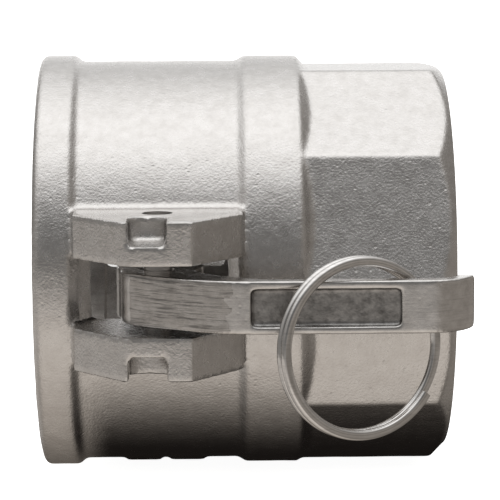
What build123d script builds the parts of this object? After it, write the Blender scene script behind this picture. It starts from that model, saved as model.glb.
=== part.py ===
"""Female cam-and-groove hose coupling with a female pipe thread, 2 inch size.

The coupling axis is X. The origin is the centre of the socket mouth and +X runs
to the threaded end. The two cam arms stand on -Y (front) and +Y (rear), each on
a pivot pin parallel to Z. All sizes are in millimetres.
"""

from build123d import *
import math
import os

os.makedirs("parts", exist_ok=True)

# Lengths along the axis
rim_length = 6.3
rim_slope_end = 7.4
band_slope_start = 35.3
band_start = 36.7
band_end = 46.3
hub_end = 72.9

# Outside radii
rim_radius = 37.6
barrel_radius = 36.5
band_radius = 37.4
hub_corner_radius = 37.1
hub_sides = 10
hub_face_radius = 34.3
shoulder_length = 2.635
rim_corner_fillet = 1.4
cast_fillet = 0.6

# Socket, gasket seat, passage and pipe thread
socket_radius = 32.0
socket_land_length = 9.5
socket_relief_radius = 32.8
seat_start = 39.5
seat_end = 46.0
seat_radius = 33.8
passage_radius = 25.5
thread_length = 22.0
thread_bore_radius = 29.7
thread_lead = 1.0
thread_runout = 2.5

# Gasket
gasket_bore_radius = 25.4
gasket_outer_radius = 33.4
gasket_thickness = 6.35
gasket_fillet = 0.8

# Lugs that carry the pivot pins: the outline is (along the axis, out from the axis)
pivot_x = 21.6
pivot_out = 40.9
lug_inner_z = 5.95
lug_outer_z = 13.4
lug_root_out = 30.0
lug_end_out = 41.8
lug_face_out = 53.1
lug_left_x = 7.2
lug_face_left_x = 16.3
lug_face_right_x = 27.5
lug_right_x = 36.0
lug_corner_fillet = 0.8
lug_soft_fillet = 3.0
lug_edge_fillet = 0.35

# Pocket in the outer corner of each lug
notch_left_x = 16.9
notch_right_x = 23.2
notch_floor_z = 9.2
notch_side_out = 46.0
notch_back_out = 45.0

# Window that the cam swings through
window_radius = 14.5

# Pivot pin and its holes
pin_radius = 2.45
pin_half_length = 12.5
pin_dome = 0.35
arm_hole_radius = 2.50
hole_mouth_radius = 2.95
hole_mouth_depth = 0.5

# Cam arm, outline in the same two directions as the lugs
arm_half_width = 4.4
arm_drop = 0.5
arm_head_radius = 6.3
arm_face_out = 56.8
arm_thickness = 3.0
arm_straight_x = 40.6
arm_inner_straight_x = 42.6
arm_outer_bend = [(18.3, 47.5), (28.8, 54.4)]
arm_inner_bend = (33.1, 49.5)
cam_x = 21.9
cam_out = 35.8
cam_radius = 7.5
tail_x = 66.0
eye_length = 3.0
eye_outer_radius = 8.2
eye_web_radius = 8.0
eye_inner_radius = 5.4
eye_half_width = 2.0
pocket_left_x = 37.1
pocket_right_x = 61.6
pocket_half_width = 3.1
pocket_depth = 0.9
pocket_corner = 0.8

# Split pull ring: its centre, and how its plane is turned from the XZ plane
ring_radius = 14.25
ring_wire_width = 1.7
ring_wire_height = 1.3
ring_wire_corner = 0.4
ring_pitch = 1.38
ring_turns = 1.94
ring_start_angle = -38.0
ring_center_x = 54.95
ring_center_out = 55.6
ring_center_z = -7.35
ring_yaw = 26.6
ring_tilt = 2.0

# Raised blank pads under the barrel
pad_height = 0.5
pad_bevel = 0.3
pad_spans = [(15.0, 21.0), (23.0, 29.0)]
pad_half_angle = 13.0


# --- Hub blank: a ten-sided prism with its end corners turned off at 45 degrees ---
hub_start = band_end - 1.0
with BuildPart() as hub_blank:
    with BuildSketch(Plane.YZ.offset(hub_start)) as hub_section:
        RegularPolygon(radius=hub_corner_radius, side_count=hub_sides)
        fillet(hub_section.vertices(), radius=cast_fillet)
    extrude(amount=hub_end - hub_start)
    with BuildSketch(Plane.XY):
        with BuildLine():
            Polyline(
                (hub_start, 0),
                (hub_start, hub_corner_radius + 1),
                (hub_end - (hub_corner_radius + 1 - hub_face_radius), hub_corner_radius + 1),
                (hub_end, hub_face_radius),
                (hub_end, 0),
                close=True,
            )
        make_face()
    revolve(axis=Axis.X, mode=Mode.INTERSECT)

# --- Lug blank: the upper front lug, before its pin hole is drilled ---
with BuildPart() as lug_blank:
    with BuildSketch(Plane.XY.offset(lug_inner_z)) as lug_section:
        with BuildLine():
            Polyline(
                (lug_left_x, -lug_root_out),
                (lug_left_x, -lug_end_out),
                (lug_face_left_x, -lug_face_out),
                (lug_face_right_x, -lug_face_out),
                (lug_right_x, -lug_end_out),
                (lug_right_x, -lug_root_out),
                close=True,
            )
        make_face()
        outer_corners = lug_section.vertices().sort_by(Axis.Y)[0:4]
        fillet(outer_corners.sort_by(Axis.X)[1], radius=lug_soft_fillet)
        crisp_corners = lug_section.vertices().sort_by(Axis.X)
        crisp_corners = crisp_corners.filter_by_position(Axis.Y, -lug_face_out, -lug_root_out - 1)
        fillet([crisp_corners[0], *crisp_corners[-2:]], radius=lug_corner_fillet)
    extrude(amount=lug_outer_z - lug_inner_z)
    rim_edges = lug_blank.faces().filter_by(Axis.Z).edges()
    outside_edges = [edge for edge in rim_edges if edge.center().Y < -lug_root_out - 1]
    fillet(outside_edges, radius=lug_edge_fillet)
    with BuildSketch(Plane.XY.offset(notch_floor_z)):
        with BuildLine():
            Polyline(
                (notch_right_x, -notch_side_out),
                (notch_right_x, -lug_face_out - 1),
                (notch_left_x, -lug_face_out - 1),
                (notch_left_x, -notch_side_out),
            )
            ThreePointArc(
                (notch_left_x, -notch_side_out),
                ((notch_left_x + notch_right_x) / 2, -notch_back_out),
                (notch_right_x, -notch_side_out),
            )
        make_face()
    extrude(amount=lug_outer_z, mode=Mode.SUBTRACT)

# --- Coupler body: one casting with its rim, barrel, band, hub and four lugs ---
with BuildPart() as coupler_body:
    with BuildSketch(Plane.XY) as outside_section:
        with BuildLine():
            shoulder_end = band_end + shoulder_length
            Polyline(
                (0, 0),
                (0, rim_radius),
                (rim_length, rim_radius),
                (rim_slope_end, barrel_radius),
                (band_slope_start, barrel_radius),
                (band_start, band_radius),
                (band_end, band_radius),
                (shoulder_end, hub_face_radius),
                (shoulder_end, 0),
                close=True,
            )
        make_face()
        outside_corners = outside_section.vertices().filter_by_position(Axis.Y, barrel_radius - 0.1, 40)
        fillet(outside_corners.filter_by_position(Axis.X, 1, 60), radius=cast_fillet)
        fillet(outside_section.vertices().sort_by(Axis.X).group_by(Axis.X)[0].sort_by(Axis.Y)[-1],
               radius=rim_corner_fillet)
    revolve(axis=Axis.X)
    add(hub_blank.part)
    add(lug_blank.part)
    add(mirror(lug_blank.part, about=Plane.XY))
    add(mirror(lug_blank.part, about=Plane.XZ))
    add(mirror(mirror(lug_blank.part, about=Plane.XY), about=Plane.XZ))
    for pad_start, pad_end in pad_spans:
        with BuildSketch(Plane.XZ.rotated((-pad_half_angle, 0, 0))):
            with BuildLine():
                Polyline(
                    (pad_start, -barrel_radius + 1),
                    (pad_start, -barrel_radius - pad_height + pad_bevel),
                    (pad_start + pad_bevel, -barrel_radius - pad_height),
                    (pad_end - pad_bevel, -barrel_radius - pad_height),
                    (pad_end, -barrel_radius - pad_height + pad_bevel),
                    (pad_end, -barrel_radius + 1),
                    close=True,
                )
            make_face()
        revolve(axis=Axis.X, revolution_arc=2 * pad_half_angle)
    with BuildSketch(Plane.XY):
        with BuildLine():
            thread_start = hub_end - thread_length
            Polyline(
                (-1, 0),
                (-1, socket_radius),
                (socket_land_length, socket_radius),
                (socket_land_length, socket_relief_radius),
                (seat_start, socket_relief_radius),
                (seat_start, seat_radius),
                (seat_end, seat_radius),
                (seat_end, passage_radius),
                (thread_start - thread_runout, passage_radius),
                (thread_start, thread_bore_radius),
                (hub_end - thread_lead, thread_bore_radius),
                (hub_end, thread_bore_radius + thread_lead),
                (hub_end + 1, thread_bore_radius + thread_lead),
                (hub_end + 1, 0),
                close=True,
            )
        make_face()
    revolve(axis=Axis.X, mode=Mode.SUBTRACT)
    for side in (-1, 1):
        with BuildSketch(Plane.XY.offset(-lug_inner_z)):
            with Locations((pivot_x, side * pivot_out)):
                Circle(window_radius)
        extrude(amount=2 * lug_inner_z, mode=Mode.SUBTRACT)
        with BuildSketch(Plane.XY.offset(-lug_outer_z - 1)):
            with Locations((pivot_x, side * pivot_out)):
                Circle(pin_radius)
        extrude(amount=2 * (lug_outer_z + 1), mode=Mode.SUBTRACT)
        for end in (-1, 1):
            mouth_plane = Plane(
                origin=(pivot_x, side * pivot_out, end * lug_outer_z), z_dir=(0, 0, end)
            )
            with BuildSketch(mouth_plane):
                Circle(hole_mouth_radius)
            with BuildSketch(mouth_plane.offset(-hole_mouth_depth)):
                Circle(pin_radius)
            loft(mode=Mode.SUBTRACT)
coupler_body.part.label = "coupler_body"
export_step(coupler_body.part, "parts/coupler_body.step")

# --- Gasket: a flat rubber ring with rounded edges, lying on the seat ---
with BuildPart() as gasket:
    with BuildSketch(Plane.XY) as gasket_section:
        with Locations((seat_end - gasket_thickness / 2, (gasket_bore_radius + gasket_outer_radius) / 2)):
            RectangleRounded(gasket_thickness, gasket_outer_radius - gasket_bore_radius, gasket_fillet)
    revolve(axis=Axis.X)
gasket.part.label = "gasket"
export_step(gasket.part, "parts/gasket.step")


def make_arm(side, name):
    """One cam arm; side is -1 for the front arm and 1 for the rear one."""
    eye_out = arm_face_out - eye_outer_radius
    inner_out = arm_face_out - arm_thickness
    tail_inner_radius = eye_outer_radius - arm_thickness
    diagonal = math.sqrt(0.5)
    with BuildPart() as arm:
        with BuildSketch(Plane.XY.offset(-arm_half_width - arm_drop)) as section:
            with BuildLine():
                Spline(
                    (pivot_x - arm_head_radius, side * pivot_out),
                    *[(bend_x, side * bend_out) for bend_x, bend_out in arm_outer_bend],
                    (arm_straight_x, side * arm_face_out),
                    tangents=[(0, side), (1, 0)],
                )
                Line((arm_straight_x, side * arm_face_out), (tail_x, side * arm_face_out))
                ThreePointArc(
                    (tail_x, side * arm_face_out),
                    (tail_x + eye_outer_radius * diagonal, side * (eye_out + eye_outer_radius * diagonal)),
                    (tail_x + eye_outer_radius, side * eye_out),
                )
                Line((tail_x + eye_outer_radius, side * eye_out), (tail_x + tail_inner_radius, side * eye_out))
                ThreePointArc(
                    (tail_x + tail_inner_radius, side * eye_out),
                    (tail_x + tail_inner_radius * diagonal, side * (eye_out + tail_inner_radius * diagonal)),
                    (tail_x, side * inner_out),
                )
                Line((tail_x, side * inner_out), (arm_inner_straight_x, side * inner_out))
                Spline(
                    (arm_inner_straight_x, side * inner_out),
                    (arm_inner_bend[0], side * arm_inner_bend[1]),
                    (pivot_x + arm_head_radius, side * pivot_out),
                    tangents=[(-1, 0), (0, -side)],
                )
                Line(
                    (pivot_x + arm_head_radius, side * pivot_out),
                    (pivot_x - arm_head_radius, side * pivot_out),
                )
            make_face()
            with Locations((pivot_x, side * pivot_out)):
                Circle(arm_head_radius)
            with Locations((cam_x, side * cam_out)):
                Circle(cam_radius)
        extrude(amount=2 * arm_half_width)
        with BuildSketch(Plane.XY.offset(-eye_half_width - arm_drop)):
            with Locations((tail_x - eye_length / 2, side * eye_out)):
                SlotCenterToCenter(eye_length, 2 * eye_web_radius)
        extrude(amount=2 * eye_half_width)
        with BuildSketch(Plane.XY.offset(-arm_half_width - arm_drop)):
            with Locations((tail_x - eye_length / 2, side * eye_out)):
                SlotCenterToCenter(eye_length, 2 * eye_inner_radius)
        extrude(amount=2 * arm_half_width, mode=Mode.SUBTRACT)
        with BuildSketch(Plane.XY.offset(-arm_half_width - arm_drop)):
            with Locations((pivot_x, side * pivot_out)):
                Circle(arm_hole_radius)
        extrude(amount=2 * arm_half_width, mode=Mode.SUBTRACT)
        pocket_plane = Plane(
            origin=((pocket_left_x + pocket_right_x) / 2, side * arm_face_out, -arm_drop),
            x_dir=(1, 0, 0),
            z_dir=(0, side, 0),
        )
        with BuildSketch(pocket_plane.offset(-pocket_depth)):
            RectangleRounded(pocket_right_x - pocket_left_x, 2 * pocket_half_width, pocket_corner)
        extrude(amount=2 * pocket_depth, mode=Mode.SUBTRACT)
    arm.part.label = name
    export_step(arm.part, f"parts/{name}.step")


def make_pin(side, name):
    """One pivot pin, pressed through both lugs and the arm between them."""
    with BuildPart() as pin:
        with BuildSketch(Plane.XY.offset(-pin_half_length)):
            with Locations((pivot_x, side * pivot_out)):
                Circle(pin_radius)
        extrude(amount=2 * pin_half_length)
        fillet(pin.faces().filter_by(Axis.Z).edges(), radius=pin_dome)
    pin.part.label = name
    export_step(pin.part, f"parts/{name}.step")


def make_ring(side, name):
    """One split pull ring: two close coils of flat wire through the arm's tail."""
    yaw = math.radians(ring_yaw)
    tilt = math.radians(ring_tilt)
    coil_height = ring_pitch * ring_turns
    with BuildPart() as ring:
        with BuildLine(Plane.XY.offset(-coil_height / 2)) as coil:
            Helix(pitch=ring_pitch, height=coil_height, radius=ring_radius)
        with BuildSketch(Plane(origin=coil.line @ 0, x_dir=(1, 0, 0), z_dir=coil.line % 0)):
            RectangleRounded(ring_wire_width, ring_wire_height, ring_wire_corner)
        sweep(path=coil.line, is_frenet=True)
    ring_plane = Plane(
        origin=(ring_center_x, side * ring_center_out, ring_center_z),
        x_dir=(math.cos(yaw), -side * math.sin(yaw), 0),
        z_dir=(
            math.cos(tilt) * math.sin(yaw),
            math.cos(tilt) * side * math.cos(yaw),
            math.sin(tilt),
        ),
    )
    placed_ring = ring_plane.location * Rotation(0, 0, ring_start_angle) * ring.part
    placed_ring.label = name
    export_step(placed_ring, f"parts/{name}.step")


for side, place in ((-1, "front"), (1, "rear")):
    make_arm(side, f"{place}_cam_arm")
    make_pin(side, f"{place}_pivot_pin")
    make_ring(side, f"{place}_pull_ring")
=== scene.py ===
"""Looks of a 2 inch camlock coupling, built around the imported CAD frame.

Shapes are drawn in millimetres in the frame of the CAD part and stored in metres.
"""
import math

import bmesh
import bpy
from mathutils import Matrix, Vector, noise


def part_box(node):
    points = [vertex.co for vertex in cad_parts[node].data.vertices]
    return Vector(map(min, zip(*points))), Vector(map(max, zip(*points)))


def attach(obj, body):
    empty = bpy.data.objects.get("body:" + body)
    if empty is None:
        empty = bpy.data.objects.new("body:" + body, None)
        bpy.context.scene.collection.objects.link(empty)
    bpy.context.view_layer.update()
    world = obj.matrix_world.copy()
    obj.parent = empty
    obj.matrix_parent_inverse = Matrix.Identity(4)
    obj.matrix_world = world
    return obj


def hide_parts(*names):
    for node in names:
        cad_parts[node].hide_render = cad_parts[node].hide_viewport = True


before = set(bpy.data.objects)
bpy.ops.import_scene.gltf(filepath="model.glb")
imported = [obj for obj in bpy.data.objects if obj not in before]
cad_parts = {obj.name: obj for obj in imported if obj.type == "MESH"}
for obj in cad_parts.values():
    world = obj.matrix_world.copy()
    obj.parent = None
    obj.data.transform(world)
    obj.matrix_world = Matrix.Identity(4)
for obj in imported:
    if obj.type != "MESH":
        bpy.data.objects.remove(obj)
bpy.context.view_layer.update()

MM = 0.001
scene = bpy.context.scene

# ---------------------------------------------------------------- sizes, mm
RIM_LENGTH = 6.3
RIM_SLOPE_END = 7.4
BAND_SLOPE_START = 35.3
BAND_START = 36.7
BAND_END = 46.3
HUB_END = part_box("coupler_body")[1].x / MM
RIM_RADIUS = 37.6
BARREL_RADIUS = 36.5
BAND_RADIUS = 37.4
HUB_CORNER_RADIUS = 37.1
HUB_FACE_RADIUS = 34.3
HUB_SIDES = 10
SOCKET_RADIUS = 32.0
LAND_LENGTH = 9.5
RELIEF_RADIUS = 32.8
SEAT_START = 39.5
SEAT_END = 46.0
SEAT_RADIUS = 33.8
PASSAGE_RADIUS = 25.5
THREAD_LENGTH = 22.0
THREAD_ROOT = 30.05
THREAD_PITCH = 25.4 / 11.5
THREAD_HEIGHT = 1.77
THREAD_TAPER = 1 / 32
PIVOT_X = 21.6
PIVOT_OUT = 40.9
PIN_RADIUS = 2.45
LUG_INNER_Z = 5.95
LUG_OUTER_Z = 13.4
WINDOW_RADIUS = 14.5
LUG_START = 7.2
LUG_END = 36.0
LUG_ROOT_OUT = 30.0
LUG_SIDE_OUT = 41.8
LUG_FACE_OUT = 53.1
LUG_FACE_START = 16.3
LUG_FACE_END = 27.5
NOTCH_X = 20.05
NOTCH_HALF = 3.15
NOTCH_OUT = 45.0
NOTCH_FLOOR_Z = 9.2
PIN_CLEARANCE = 0.12
PADS = ((15, 21), (23, 29))
PAD_RADIUS = BARREL_RADIUS + 0.5
PAD_HALF_ANGLE = 13
ARM_MIDDLE_Z = -0.5
POCKET_START = 36.9
POCKET_END = 61.8
POCKET_HALF = 3.35
POCKET_DEPTH = 1.3
WORN_START = 17
WORN_END = 33.2
TAIL_OUT = 48.6
TAIL_HALF = 4.4
TAIL_CORNER = 2.2

LATHE_SEGMENTS = 360
BODY_VOXEL = 0.5
ARM_VOXEL = 0.26


# ---------------------------------------------------------------- mesh tools
def mesh_object(name, verts, faces):
    """A mesh object from vertices in millimetres."""
    mesh = bpy.data.meshes.new(name)
    mesh.from_pydata([(x * MM, y * MM, z * MM) for x, y, z in verts], [], faces)
    mesh.validate()
    obj = bpy.data.objects.new(name, mesh)
    scene.collection.objects.link(obj)
    return obj


def outward(obj):
    """Turn a closed mesh's faces outwards."""
    work = bmesh.new()
    work.from_mesh(obj.data)
    bmesh.ops.recalc_face_normals(work, faces=work.faces)
    work.to_mesh(obj.data)
    work.free()
    return obj


def lathe(name, profile, segments=LATHE_SEGMENTS):
    """A closed outline of (x, radius) points turned about the X axis."""
    verts, rings = [], []
    for x, radius in profile:
        if radius < 1e-6:
            rings.append([len(verts)])
            verts.append((x, 0.0, 0.0))
            continue
        rings.append(range(len(verts), len(verts) + segments))
        for step in range(segments):
            angle = 2 * math.pi * step / segments
            verts.append((x, radius * math.cos(angle), radius * math.sin(angle)))
    faces = []
    for first, second in zip(rings, rings[1:] + rings[:1]):
        if len(first) == 1 and len(second) == 1:
            continue
        for step in range(segments):
            after = (step + 1) % segments
            if len(first) == 1:
                faces.append((first[0], second[step], second[after]))
            elif len(second) == 1:
                faces.append((first[step], second[0], first[after]))
            else:
                faces.append((first[step], second[step], second[after], first[after]))
    return outward(mesh_object(name, verts, faces))


def prism(name, outline, low, high, axis="Z"):
    """A closed outline stood up between two heights along Z or X."""
    count = len(outline)
    place = {"Z": lambda a, b, h: (a, b, h), "X": lambda a, b, h: (h, a, b)}[axis]
    verts = [place(a, b, low) for a, b in outline] + [place(a, b, high) for a, b in outline]
    faces = [tuple(range(count)), tuple(range(2 * count - 1, count - 1, -1))]
    for step in range(count):
        after = (step + 1) % count
        faces.append((step, after, after + count, step + count))
    return outward(mesh_object(name, verts, faces))


def circle(centre, radius, count=96):
    """Points of a circle, for prism()."""
    turns = [2 * math.pi * step / count for step in range(count)]
    return [(centre[0] + radius * math.cos(t), centre[1] + radius * math.sin(t)) for t in turns]


def rounded(points, radii, steps=6):
    """An outline with each corner rounded to its own radius."""
    result = []
    count = len(points)
    for index, radius in enumerate(radii):
        corner = Vector(points[index])
        before = (Vector(points[index - 1]) - corner).normalized()
        after = (Vector(points[(index + 1) % count]) - corner).normalized()
        if radius <= 0:
            result.append(tuple(corner))
            continue
        half = before.angle(after) / 2
        reach = radius / math.tan(half)
        centre = corner + (before + after).normalized() * (radius / math.sin(half))
        start = corner + before * reach - centre
        end = corner + after * reach - centre
        for step in range(steps + 1):
            result.append(tuple(centre + start.slerp(end, step / steps).normalized() * radius))
    return result


def evaluated(obj):
    """Put an object's modifiers into its mesh."""
    depsgraph = bpy.context.evaluated_depsgraph_get()
    mesh = bpy.data.meshes.new_from_object(obj.evaluated_get(depsgraph))
    old = obj.data
    obj.modifiers.clear()
    obj.data = mesh
    bpy.data.meshes.remove(old)
    return obj


def combine(obj, other, operation):
    """Union, difference or intersection of two closed meshes; the second one is used up."""
    boolean = obj.modifiers.new("cut", "BOOLEAN")
    boolean.operation = operation
    boolean.solver = "MANIFOLD"
    boolean.object = other
    evaluated(obj)
    bpy.data.objects.remove(other)
    return obj


def cast_skin(obj, voxel, smooth_steps, waviness, wave_size):
    """Soften a shape as a casting is: even faces, rounded edges, a slightly uneven skin."""
    remesh = obj.modifiers.new("skin", "REMESH")
    remesh.mode = "VOXEL"
    remesh.voxel_size = voxel * MM
    remesh.adaptivity = 0
    smooth = obj.modifiers.new("soften", "SMOOTH")
    smooth.factor = 0.5
    smooth.iterations = smooth_steps
    evaluated(obj)
    normals = [vertex.normal.copy() for vertex in obj.data.vertices]
    for vertex, normal in zip(obj.data.vertices, normals):
        point = vertex.co / (wave_size * MM)
        lift = noise.noise(point) + 0.5 * noise.noise(point * 2.3 + Vector((7, 3, 5)))
        vertex.co += normal * (lift * waviness * MM)
    return obj


def finish_shading(obj, sharp_degrees=32):
    """Smooth faces with sharp machined edges."""
    obj.data.shade_smooth()
    obj.data.set_sharp_from_angle(angle=math.radians(sharp_degrees))
    return obj


def paint(obj, material, test):
    """Give a second material to the faces whose centre (mm) and normal pass a test."""
    obj.data.materials.append(material)
    index = len(obj.data.materials) - 1
    for polygon in obj.data.polygons:
        if test(polygon.center / MM, polygon.normal):
            polygon.material_index = index


def as_piece(obj, body, slot, material, *nodes):
    """Give a piece its material and body, and hide the CAD nodes it stands for."""
    obj.data.materials.clear()
    obj.data.materials.append(material)
    for polygon in obj.data.polygons:
        polygon.material_index = 0
    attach(obj, body)
    if nodes:
        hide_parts(*nodes)
    return obj


# ---------------------------------------------------------------- materials
def new_material(name):
    """An empty node material with its Principled shader, and a helper to add nodes."""
    material = bpy.data.materials.new(name)
    material.use_nodes = True
    tree = material.node_tree
    shader = tree.nodes["Principled BSDF"]

    def add(kind, **values):
        node = tree.nodes.new(kind)
        for key, value in values.items():
            if key.startswith("in_"):
                node.inputs[key[3:]].default_value = value
            else:
                setattr(node, key, value)
        return node

    return material, tree, shader, add


def ramp_stops(ramp, stops):
    """Set a colour ramp's stops from (position, colour) pairs."""
    elements = ramp.color_ramp.elements
    while len(elements) > 1:
        elements.remove(elements[-1])
    elements[0].position = stops[0][0]
    elements[0].color = stops[0][1]
    for position, colour in stops[1:]:
        elements.new(position).color = colour


def grey(value, warmth=0.0):
    """A colour of that lightness, a little warm."""
    return (value, value * (1 - 0.5 * warmth), value * (1 - warmth), 1)


def metal(name, dark, light, warmth, roughness, grain, grain_depth, pit_depth,
          scratch_depth=0.0, mottle_size=3.0, streak=0.12):
    """Bare steel: mottled tone and gloss, a blasted grain, scattered pits and fine scratches.

    grain and mottle_size are millimetres across, the depths are millimetres.
    """
    material, tree, shader, add = new_material(name)
    link = tree.links.new
    place = add("ShaderNodeTexCoord").outputs["Object"]
    mottle = add("ShaderNodeTexNoise", in_Scale=1 / (mottle_size * MM), in_Detail=5.0,
                 in_Roughness=0.62)
    link(place, mottle.inputs["Vector"])
    tone = add("ShaderNodeValToRGB")
    ramp_stops(tone, [(0.30, grey(dark, warmth)), (0.68, grey(light, warmth * 0.7))])
    link(mottle.outputs["Fac"], tone.inputs["Fac"])
    gloss = add("ShaderNodeMapRange")
    gloss.inputs["From Min"].default_value = 0.3
    gloss.inputs["From Max"].default_value = 0.7
    gloss.inputs["To Min"].default_value = roughness * 0.86
    gloss.inputs["To Max"].default_value = roughness * 1.16
    link(mottle.outputs["Fac"], gloss.inputs["Value"])
    link(gloss.outputs["Result"], shader.inputs["Roughness"])
    fine = add("ShaderNodeTexNoise", in_Scale=1 / (grain * MM), in_Detail=3.0, in_Roughness=0.6)
    link(place, fine.inputs["Vector"])
    skin = add("ShaderNodeBump", in_Strength=1.0, in_Distance=grain_depth * MM)
    link(fine.outputs["Fac"], skin.inputs["Height"])
    pits = add("ShaderNodeTexVoronoi", in_Scale=1 / (2.2 * MM))
    link(place, pits.inputs["Vector"])
    hollow = add("ShaderNodeMapRange")
    hollow.inputs["From Min"].default_value = 0.0
    hollow.inputs["From Max"].default_value = 0.16
    link(pits.outputs["Distance"], hollow.inputs["Value"])
    pitted = add("ShaderNodeBump", in_Strength=1.0, in_Distance=pit_depth * MM)
    link(hollow.outputs["Result"], pitted.inputs["Height"])
    link(skin.outputs["Normal"], pitted.inputs["Normal"])
    last = pitted
    link(tone.outputs["Color"], shader.inputs["Base Color"])
    if scratch_depth > 0:
        stretch = add("ShaderNodeMapping")
        stretch.inputs["Scale"].default_value = (0.05, 0.05, 1)
        link(place, stretch.inputs["Vector"])
        strokes = add("ShaderNodeTexNoise", in_Scale=1 / (0.35 * MM), in_Detail=4.0,
                      in_Roughness=0.7)
        link(stretch.outputs["Vector"], strokes.inputs["Vector"])
        worn = add("ShaderNodeValToRGB")
        ramp_stops(worn, [(0.36, grey(1 - streak)), (0.50, grey(1.0))])
        link(strokes.outputs["Fac"], worn.inputs["Fac"])
        marked = add("ShaderNodeMix", data_type="RGBA", blend_type="MULTIPLY")
        marked.inputs["Factor"].default_value = 1.0
        link(tone.outputs["Color"], marked.inputs[6])
        link(worn.outputs["Color"], marked.inputs[7])
        link(marked.outputs[2], shader.inputs["Base Color"])
        scratched = add("ShaderNodeBump", in_Strength=1.0, in_Distance=scratch_depth * MM)
        link(strokes.outputs["Fac"], scratched.inputs["Height"])
        link(last.outputs["Normal"], scratched.inputs["Normal"])
        last = scratched
    link(last.outputs["Normal"], shader.inputs["Normal"])
    shader.inputs["Metallic"].default_value = 1.0
    return material


def rubber(name):
    """Matt black moulded rubber with a dusty bloom."""
    material, tree, shader, add = new_material(name)
    link = tree.links.new
    place = add("ShaderNodeTexCoord").outputs["Object"]
    bloom = add("ShaderNodeTexNoise", in_Scale=1 / (4 * MM), in_Detail=6.0)
    link(place, bloom.inputs["Vector"])
    tone = add("ShaderNodeValToRGB")
    ramp_stops(tone, [(0.35, grey(0.012)), (0.75, grey(0.035))])
    link(bloom.outputs["Fac"], tone.inputs["Fac"])
    link(tone.outputs["Color"], shader.inputs["Base Color"])
    fine = add("ShaderNodeTexNoise", in_Scale=1 / (0.2 * MM), in_Detail=2.0)
    link(place, fine.inputs["Vector"])
    bump = add("ShaderNodeBump", in_Strength=1.0, in_Distance=0.01 * MM)
    link(fine.outputs["Fac"], bump.inputs["Height"])
    link(bump.outputs["Normal"], shader.inputs["Normal"])
    shader.inputs["Roughness"].default_value = 0.62
    return material


body_steel = metal("cast_body_steel", 0.56, 0.66, 0.06, 0.25, 0.42, 0.085, 0.05,
                   mottle_size=2.0)
milled_steel = metal("milled_lug_steel", 0.64, 0.72, 0.05, 0.16, 0.5, 0.012, 0.0, 0.01)
machined_steel = metal("machined_steel", 0.50, 0.62, 0.07, 0.24, 0.5, 0.004, 0.0, 0.006)
arm_steel = metal("cast_arm_steel", 0.56, 0.72, 0.06, 0.22, 0.6, 0.022, 0.03, 0.012,
                  mottle_size=2.0)
pocket_steel = metal("arm_pocket_steel", 0.16, 0.42, 0.06, 0.34, 0.5, 0.05, 0.03,
                     mottle_size=1.6)
worn_steel = metal("worn_arm_steel", 0.44, 0.58, 0.09, 0.20, 0.5, 0.012, 0.0, 0.04,
                   mottle_size=2.2, streak=0.6)
ring_steel = metal("ring_wire_steel", 0.58, 0.72, 0.05, 0.06, 0.6, 0.003, 0.0, 0.003)
pin_steel = metal("pin_bar_steel", 0.42, 0.58, 0.06, 0.24, 0.4, 0.01, 0.01, 0.004)
gasket_rubber = rubber("black_rubber")


# ---------------------------------------------------------------- coupler body
def thread_radius(x):
    """Root radius of the thread's cone at a distance along the axis."""
    return THREAD_ROOT - (HUB_END - x) * THREAD_TAPER


def lug(level, side):
    """One lug: level is 1 above the arm and -1 below it, side is -1 in front and 1 behind."""
    outline = rounded(
        [(LUG_START, side * LUG_ROOT_OUT), (LUG_START, side * LUG_SIDE_OUT),
         (LUG_FACE_START, side * LUG_FACE_OUT), (LUG_FACE_END, side * LUG_FACE_OUT),
         (LUG_END, side * LUG_SIDE_OUT), (LUG_END, side * LUG_ROOT_OUT)],
        [0, 0.9, 3.0, 0.8, 0.9, 0],
    )
    low, high = sorted((level * LUG_INNER_Z, level * LUG_OUTER_Z))
    block = prism("lug", outline, low, high)
    steps = (-1, -0.66, -0.33, 0, 0.33, 0.66, 1)
    back = [(NOTCH_X + NOTCH_HALF * t, side * (NOTCH_OUT + t * t)) for t in steps]
    past_face = side * (LUG_FACE_OUT + 2.9)
    notch = back + [(NOTCH_X + NOTCH_HALF, past_face), (NOTCH_X - NOTCH_HALF, past_face)]
    low, high = sorted((level * NOTCH_FLOOR_Z, level * (LUG_OUTER_Z + 2)))
    return combine(block, prism("notch", notch, low, high), "DIFFERENCE")


def blank_pad(start, end):
    """A raised pad left blank under the barrel, curved with it."""
    arc = [math.radians(PAD_HALF_ANGLE * step / 8 - 90) for step in range(-8, 9)]
    outline = [(PAD_RADIUS * math.cos(t), PAD_RADIUS * math.sin(t)) for t in arc]
    inner = BARREL_RADIUS - 1
    outline += [(inner * math.cos(t), inner * math.sin(t)) for t in reversed(arc)]
    return prism("pad", outline, start, end, axis="X")


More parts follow.
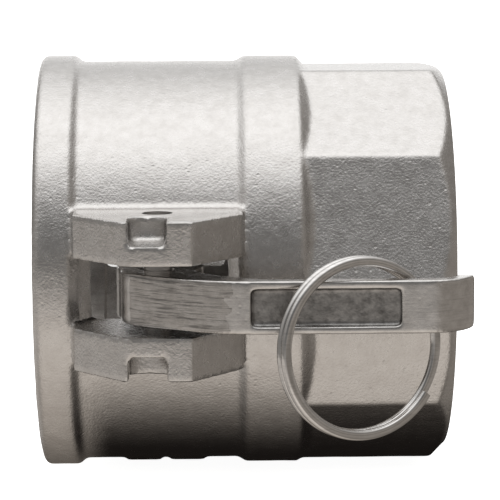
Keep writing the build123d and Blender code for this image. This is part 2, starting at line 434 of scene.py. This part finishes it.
def build_body():
    """The casting, softened as cast, then bored, seated, threaded and drilled as machined."""
    shoulder_end = BAND_END + (BAND_RADIUS - HUB_FACE_RADIUS) * 0.85
    outside = rounded(
        [(0, 0), (0, RIM_RADIUS), (RIM_LENGTH, RIM_RADIUS), (RIM_SLOPE_END, BARREL_RADIUS),
         (BAND_SLOPE_START, BARREL_RADIUS), (BAND_START, BAND_RADIUS), (BAND_END, BAND_RADIUS),
         (shoulder_end, HUB_FACE_RADIUS), (shoulder_end, 0)],
        [0, 1.2, 0.5, 0.9, 0.9, 0.5, 0.5, 0, 0],
    )
    body = lathe("coupler_casting", outside)
    hub_start = BAND_END - 1.0
    corners = [2 * math.pi * step / HUB_SIDES for step in range(HUB_SIDES)]
    hub_outline = rounded(
        [(HUB_CORNER_RADIUS * math.cos(t), HUB_CORNER_RADIUS * math.sin(t)) for t in corners],
        [0.7] * HUB_SIDES,
    )
    hub = prism("hub", hub_outline, hub_start, HUB_END + 1.0, axis="X")
    turned = [(hub_start - 1, 0), (hub_start - 1, HUB_CORNER_RADIUS),
              (HUB_END - (HUB_CORNER_RADIUS - HUB_FACE_RADIUS), HUB_CORNER_RADIUS),
              (HUB_END + 0.5, HUB_FACE_RADIUS - 0.5), (HUB_END + 0.5, 0)]
    combine(hub, lathe("hub_turning", turned), "INTERSECT")
    combine(body, hub, "UNION")
    for side in (-1, 1):
        for level in (-1, 1):
            combine(body, lug(level, side), "UNION")
    for start, end in PADS:
        combine(body, blank_pad(start, end), "UNION")
    for side in (-1, 1):
        window = circle((PIVOT_X, side * PIVOT_OUT), WINDOW_RADIUS)
        combine(body, prism("window", window, -LUG_INNER_Z, LUG_INNER_Z), "DIFFERENCE")
    cast_skin(body, BODY_VOXEL, 2, 0.035, 6.0)
    thread_start = HUB_END - THREAD_LENGTH
    bore = [(-1, 0), (-1, SOCKET_RADIUS + 1.6), (0.6, SOCKET_RADIUS), (LAND_LENGTH, SOCKET_RADIUS),
            (LAND_LENGTH + 0.5, RELIEF_RADIUS), (SEAT_START, RELIEF_RADIUS),
            (SEAT_START, SEAT_RADIUS), (SEAT_END, SEAT_RADIUS),
            (SEAT_END, PASSAGE_RADIUS), (thread_start - 1.5, PASSAGE_RADIUS),
            (thread_start, thread_radius(thread_start)),
            (HUB_END - 1.0, thread_radius(HUB_END - 1.0)),
            (HUB_END, THREAD_ROOT + 1.0), (HUB_END + 2, THREAD_ROOT + 3.0), (HUB_END + 2, 0)]
    combine(body, lathe("bore", bore), "DIFFERENCE")
    facing = [(HUB_END - 0.01, 0), (HUB_END - 0.01, 45), (HUB_END + 5, 45), (HUB_END + 5, 0)]
    combine(body, lathe("facing", facing, 64), "DIFFERENCE")
    for side in (-1, 1):
        hole = circle((PIVOT_X, side * PIVOT_OUT), PIN_RADIUS + PIN_CLEARANCE, 64)
        combine(body, prism("pin_hole", hole, -20, 20), "DIFFERENCE")
    return finish_shading(body)


body = build_body()
as_piece(body, "body", "cast_stainless_body", body_steel, "coupler_body")


def in_bore(point, normal):
    """Faces that look towards the axis from inside the body."""
    radial = Vector((0, point.y, point.z))
    return radial.length < 34.6 and normal.dot(radial) < 0.3 * radial.length and 0 < point.x


def on_lug_end(point, normal):
    """The flat milled ends of the lugs, above and below."""
    return abs(point.z) > LUG_OUTER_Z - 0.3 and abs(point.y) > 34.5 and abs(normal.z) > 0.9


paint(body, machined_steel, in_bore)
paint(body, milled_steel, on_lug_end)


# ---------------------------------------------------------------- pipe thread
def build_thread():
    """The thread's crests: a helical ridge that stands in from the root cone."""
    turns = (THREAD_LENGTH - 2.0) / THREAD_PITCH
    steps = int(turns * 120)
    half_root = THREAD_PITCH * 0.47
    half_crest = THREAD_PITCH * 0.06
    fade_turns = 0.8
    verts, faces = [], []
    for step in range(steps + 1):
        turn = turns * step / steps
        angle = 2 * math.pi * turn
        x = HUB_END - 0.9 - THREAD_PITCH * turn
        fade = min(1, turn / fade_turns + 0.25, (turns - turn) / fade_turns + 0.05)
        height = THREAD_HEIGHT * fade
        for offset, rise in ((half_root, -0.08), (half_crest, height), (-half_crest, height),
                             (-half_root, -0.08)):
            radius = thread_radius(x + offset) - rise
            verts.append((x + offset, radius * math.cos(angle), radius * math.sin(angle)))
    for step in range(steps):
        low, high = step * 4, step * 4 + 4
        for corner in range(4):
            after = (corner + 1) % 4
            faces.append((low + corner, low + after, high + after, high + corner))
    faces.append((0, 1, 2, 3))
    last = steps * 4
    faces.append((last + 3, last + 2, last + 1, last))
    return finish_shading(outward(mesh_object("pipe_thread", verts, faces)), 25)


as_piece(build_thread(), "body", "cast_stainless_body", machined_steel)


# ---------------------------------------------------------------- arms
def copy_of(node):
    """A copy of a CAD node's mesh, its faces joined along their edges, to be worked on."""
    copy = bpy.data.objects.new(node + "_shape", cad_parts[node].data.copy())
    scene.collection.objects.link(copy)
    work = bmesh.new()
    work.from_mesh(copy.data)
    bmesh.ops.remove_doubles(work, verts=work.verts, dist=0.0005 * MM)
    work.to_mesh(copy.data)
    work.free()
    return copy


ARM_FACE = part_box("rear_cam_arm")[1].y / MM


def in_pocket(point, normal):
    """The sunk panel in the arm's outer face."""
    return (POCKET_START < point.x < POCKET_END and abs(point.z - ARM_MIDDLE_Z) < POCKET_HALF
            and ARM_FACE - POCKET_DEPTH < abs(point.y) < ARM_FACE - 0.22)


def on_worn_part(point, normal):
    """The outer face of the arm's bend, scratched by use."""
    end = WORN_END + 1.8 * noise.noise(point * 0.6)
    return (WORN_START < point.x < end and abs(normal.y) > 0.3
            and abs(point.z - ARM_MIDDLE_Z) < 4.1)


def tail_corner(side, level):
    """What is rounded off one corner of the arm's curled end."""
    edge = ARM_MIDDLE_Z + level * TAIL_HALF
    spare = 0.6
    arc = []
    for step in range(9):
        angle = math.radians(90 * step / 8)
        arc.append((side * (TAIL_OUT + TAIL_CORNER * (1 - math.cos(angle))),
                    edge - level * TAIL_CORNER * (1 - math.sin(angle))))
    corner = [(side * (TAIL_OUT + TAIL_CORNER), edge + level * spare),
              (side * (TAIL_OUT - spare), edge + level * spare),
              (side * (TAIL_OUT - spare), edge - level * TAIL_CORNER)]
    return prism("tail_corner", arc + corner, 69.5, 76.0, axis="X")


for place in ("front", "rear"):
    arm = copy_of(f"{place}_cam_arm")
    arm.name = f"{place}_arm_casting"
    side = -1 if place == "front" else 1
    for level in (-1, 1):
        combine(arm, tail_corner(side, level), "DIFFERENCE")
    cast_skin(arm, ARM_VOXEL, 11, 0.03, 4.0)
    as_piece(finish_shading(arm, 60), f"{place}_arm", "cast_stainless_arm", arm_steel,
             f"{place}_cam_arm")
    paint(arm, pocket_steel, in_pocket)
    paint(arm, worn_steel, on_worn_part)


# ---------------------------------------------------------------- pins
def build_pin(name, side):
    """A drawn pin with domed, peened ends."""
    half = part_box(name)[1].z / MM
    outline = rounded([(-half, 0), (-half, PIN_RADIUS), (half, PIN_RADIUS), (half, 0)],
                      [0, 0.7, 0.7, 0])
    pin = lathe(name + "_bar", outline, 64)
    pin.data.transform(Matrix.Translation(Vector((PIVOT_X, side * PIVOT_OUT, 0)) * MM)
                       @ Matrix.Rotation(math.radians(90), 4, "Y"))
    return finish_shading(pin, 40)


for place, side in (("front", -1), ("rear", 1)):
    as_piece(build_pin(f"{place}_pivot_pin", side), "body", "pin_steel", pin_steel,
             f"{place}_pivot_pin")


# ---------------------------------------------------------------- pull rings
RING_RADIUS = 14.25
RING_CENTRE = (54.95, 55.6, -7.35)
RING_YAW = 26.6
RING_TILT = 2.0
RING_START = 18.0
RING_TURNS = 1.85
RING_PITCH = 1.38
WIRE_WIDTH = 1.75
WIRE_HEIGHT = 1.32
WIRE_CORNER = 0.62


def build_ring(name, side):
    """A split ring of rolled wire: two close coils, rising steadily across all the way round."""
    wide, high = WIRE_WIDTH / 2, WIRE_HEIGHT / 2
    section = rounded([(-wide, -high), (wide, -high), (wide, high), (-wide, high)],
                      [WIRE_CORNER] * 4, 5)
    yaw, tilt = math.radians(RING_YAW), math.radians(RING_TILT)
    along = Vector((math.cos(yaw), -side * math.sin(yaw), 0))
    facing = Vector((math.cos(tilt) * math.sin(yaw), math.cos(tilt) * side * math.cos(yaw),
                     math.sin(tilt)))
    across = facing.cross(along).normalized()
    along = across.cross(facing).normalized()
    centre = Vector((RING_CENTRE[0], side * RING_CENTRE[1], RING_CENTRE[2]))
    steps = int(RING_TURNS * 220)
    verts, faces = [], []
    for step in range(steps + 1):
        turn = RING_TURNS * step / steps
        angle = 2 * math.pi * turn + math.radians(RING_START)
        height = (turn - RING_TURNS / 2) * RING_PITCH
        for width, lift in section:
            radius = RING_RADIUS + width
            point = centre + facing * (height + lift)
            point += along * (radius * math.cos(angle)) + across * (radius * math.sin(angle))
            verts.append(tuple(point))
    count = len(section)
    for step in range(steps):
        low, high = step * count, (step + 1) * count
        for corner in range(count):
            after = (corner + 1) % count
            faces.append((low + corner, low + after, high + after, high + corner))
    faces.append(tuple(range(count)))
    faces.append(tuple(range(steps * count + count - 1, steps * count - 1, -1)))
    return finish_shading(outward(mesh_object(name, verts, faces)), 50)


for place, side in (("front", -1), ("rear", 1)):
    as_piece(build_ring(f"{place}_ring_wire", side), f"{place}_ring", "ring_wire", ring_steel,
             f"{place}_pull_ring")

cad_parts["gasket"].data.materials.clear()
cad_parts["gasket"].data.materials.append(gasket_rubber)


# ---------------------------------------------------------------- studio
def build_studio():
    """A white floor and a room of soft light: bright above, warm and dimmer below."""
    floor_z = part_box("coupler_body")[0].z / MM
    reach = 4000
    floor = mesh_object("floor", [(-reach, -reach, floor_z), (reach, -reach, floor_z),
                                  (reach, reach, floor_z), (-reach, reach, floor_z)],
                        [(0, 1, 2, 3)])
    floor.visible_glossy = False
    floor.visible_diffuse = False
    material, tree, shader, add = new_material("floor_white")
    shader.inputs["Base Color"].default_value = (0.9, 0.9, 0.9, 1)
    shader.inputs["Roughness"].default_value = 0.9
    shader.inputs["Emission Color"].default_value = (1, 1, 1, 1)
    shader.inputs["Emission Strength"].default_value = 0.95
    floor.data.materials.append(material)

    world = bpy.data.worlds.new("studio")
    scene.world = world
    world.use_nodes = True
    tree = world.node_tree
    tree.nodes.clear()
    link = tree.links.new

    def add_node(kind, **values):
        node = tree.nodes.new(kind)
        for key, value in values.items():
            setattr(node, key, value)
        return node

    coords = add_node("ShaderNodeTexCoord")
    parts = add_node("ShaderNodeSeparateXYZ")
    link(coords.outputs["Generated"], parts.inputs[0])
    front = add_node("ShaderNodeMath", operation="MULTIPLY")
    front.inputs[1].default_value = -1
    link(parts.outputs["Y"], front.inputs[0])
    angle = add_node("ShaderNodeMath", operation="ARCTAN2")
    link(parts.outputs["Z"], angle.inputs[0])
    link(front.outputs[0], angle.inputs[1])
    turn = add_node("ShaderNodeMath", operation="MULTIPLY_ADD")
    turn.inputs[1].default_value = 1 / (2 * math.pi)
    turn.inputs[2].default_value = 0.5
    link(angle.outputs[0], turn.inputs[0])
    sky = add_node("ShaderNodeValToRGB")
    # degrees up from straight ahead on the camera's side and on over the top, brightness, warmth
    lights = [
        (-180, 0.07, 0.20), (-143, 0.10, 0.24), (-113, 0.22, 0.21), (-93, 0.35, 0.19),
        (-70, 0.43, 0.17), (-37, 0.56, 0.15), (-20, 0.45, 0.13), (-8, 0.26, 0.10),
        (4, 0.14, 0.06), (18, 0.105, 0.03), (29, 0.135, 0.02), (37, 0.27, 0.02),
        (49, 0.52, 0.01), (62, 0.95, 0.01), (72, 1.0, 0.01), (100, 1.0, 0.01),
        (120, 0.78, 0.01), (146, 0.50, 0.01), (160, 0.58, 0.01), (171, 0.84, 0.01),
        (179, 0.88, 0.01),
    ]
    stops = [((degrees + 180) / 360, grey(value, warmth)) for degrees, value, warmth in lights]
    ramp_stops(sky, stops)
    link(turn.outputs[0], sky.inputs["Fac"])
    height = add_node("ShaderNodeMapRange")
    height.inputs["From Min"].default_value = -1
    link(parts.outputs["Z"], height.inputs["Value"])
    # height as 0 straight down to 1 straight up, with the room's brightness and warmth there
    right = add_node("ShaderNodeValToRGB")
    ramp_stops(right, [(0.0, grey(0.12, 0.20)), (0.41, grey(0.22, 0.18)), (0.45, grey(0.15, 0.18)),
                       (0.50, grey(0.24, 0.16)), (0.62, grey(0.15, 0.14)), (0.78, grey(0.24, 0.10)),
                       (0.92, grey(0.6, 0.03)), (1.0, grey(0.95, 0.01))])
    left = add_node("ShaderNodeValToRGB")
    ramp_stops(left, [(0.0, grey(0.22, 0.16)), (0.40, grey(0.42, 0.12)), (0.424, grey(0.34, 0.11)),
                      (0.446, grey(0.19, 0.10)), (0.56, grey(0.17, 0.08)), (0.75, grey(0.30, 0.06)),
                      (1.0, grey(0.95, 0.01))])
    link(height.outputs["Result"], right.inputs["Fac"])
    link(height.outputs["Result"], left.inputs["Fac"])
    which = add_node("ShaderNodeMapRange")
    which.inputs["From Min"].default_value = -0.1
    which.inputs["From Max"].default_value = 0.1
    link(parts.outputs["X"], which.inputs["Value"])
    sides = add_node("ShaderNodeMix", data_type="RGBA")
    link(which.outputs["Result"], sides.inputs["Factor"])
    link(left.outputs["Color"], sides.inputs[6])
    link(right.outputs["Color"], sides.inputs[7])
    across = add_node("ShaderNodeMath", operation="ABSOLUTE")
    link(parts.outputs["X"], across.inputs[0])
    pole = add_node("ShaderNodeMapRange", interpolation_type="SMOOTHSTEP")
    pole.inputs["From Min"].default_value = 0.28
    pole.inputs["From Max"].default_value = 0.60
    link(across.outputs[0], pole.inputs["Value"])
    mix = add_node("ShaderNodeMix", data_type="RGBA")
    link(pole.outputs["Result"], mix.inputs["Factor"])
    link(sky.outputs["Color"], mix.inputs[6])
    link(sides.outputs[2], mix.inputs[7])
    studio_light = add_node("ShaderNodeBackground")
    studio_light.inputs["Strength"].default_value = 1.5
    link(mix.outputs[2], studio_light.inputs["Color"])
    backdrop = add_node("ShaderNodeBackground")
    backdrop.inputs["Color"].default_value = (1, 1, 1, 1)
    rays = add_node("ShaderNodeLightPath")
    choose = add_node("ShaderNodeMixShader")
    link(rays.outputs["Is Camera Ray"], choose.inputs[0])
    link(studio_light.outputs[0], choose.inputs[1])
    link(backdrop.outputs[0], choose.inputs[2])
    output = add_node("ShaderNodeOutputWorld")
    link(choose.outputs[0], output.inputs["Surface"])


def build_floor_shade():
    """A dark card under the object, seen only in reflections: painted shadow of the floor under the
    object, a lighting aid, fading outwards.
    """
    floor_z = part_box("coupler_body")[0].z / MM - 0.1
    shade = mesh_object("floor_shade", [(-20, -60, floor_z), (110, -60, floor_z),
                                        (110, 60, floor_z), (-20, 60, floor_z)], [(0, 1, 2, 3)])
    shade.visible_camera = False
    shade.visible_diffuse = False
    shade.visible_shadow = False
    material, tree, shader, add = new_material("floor_shade_dark")
    link = tree.links.new
    parts = add("ShaderNodeSeparateXYZ")
    link(add("ShaderNodeTexCoord").outputs["Object"], parts.inputs[0])
    across = add("ShaderNodeMath", operation="ABSOLUTE")
    link(parts.outputs["Y"], across.inputs[0])
    amount = None
    # where the card is clear and where it is full, mm
    fades = [(across.outputs[0], 52, 12), (parts.outputs["X"], 4, 12),
             (parts.outputs["X"], 95, 74)]
    for socket, clear, full in fades:
        fade = add("ShaderNodeMapRange", interpolation_type="SMOOTHSTEP")
        fade.inputs["From Min"].default_value = clear * MM
        fade.inputs["From Max"].default_value = full * MM
        link(socket, fade.inputs["Value"])
        if amount is None:
            amount = fade.outputs["Result"]
            continue
        both = add("ShaderNodeMath", operation="MULTIPLY")
        link(amount, both.inputs[0])
        link(fade.outputs["Result"], both.inputs[1])
        amount = both.outputs[0]
    # painted shadow: the near-black colour of the floor's shade under the object
    dark = add("ShaderNodeEmission", in_Color=(0.012, 0.010, 0.009, 1), in_Strength=1.0)
    clear_part = add("ShaderNodeBsdfTransparent")
    blend = add("ShaderNodeMixShader")
    link(amount, blend.inputs[0])
    link(clear_part.outputs[0], blend.inputs[1])
    link(dark.outputs[0], blend.inputs[2])
    link(blend.outputs[0], tree.nodes["Material Output"].inputs["Surface"])
    tree.nodes.remove(shader)
    shade.data.materials.append(material)


def build_camera():
    """A long lens a little above the coupling's axis."""
    camera_data = bpy.data.cameras.new("camera")
    camera_data.lens = 180
    camera_data.sensor_width = 36
    camera_data.clip_start = 0.01
    camera = bpy.data.objects.new("camera", camera_data)
    scene.collection.objects.link(camera)
    target = Vector((37.8, 0, 1.5)) * MM
    elevation, azimuth, roll = (math.radians(a) for a in (7.65, -0.9, 0.35))
    distance = 0.4625
    away = Vector((math.sin(azimuth) * math.cos(elevation),
                   -math.cos(azimuth) * math.cos(elevation), math.sin(elevation)))
    facing = (-away).to_track_quat("-Z", "Y").to_matrix().to_4x4()
    camera.matrix_world = (Matrix.Translation(target + away * distance) @ facing
                           @ Matrix.Rotation(-roll, 4, "Z"))
    scene.camera = camera


build_studio()
build_floor_shade()
build_camera()
scene.view_settings.view_transform = "Standard"
scene.view_settings.look = "None"
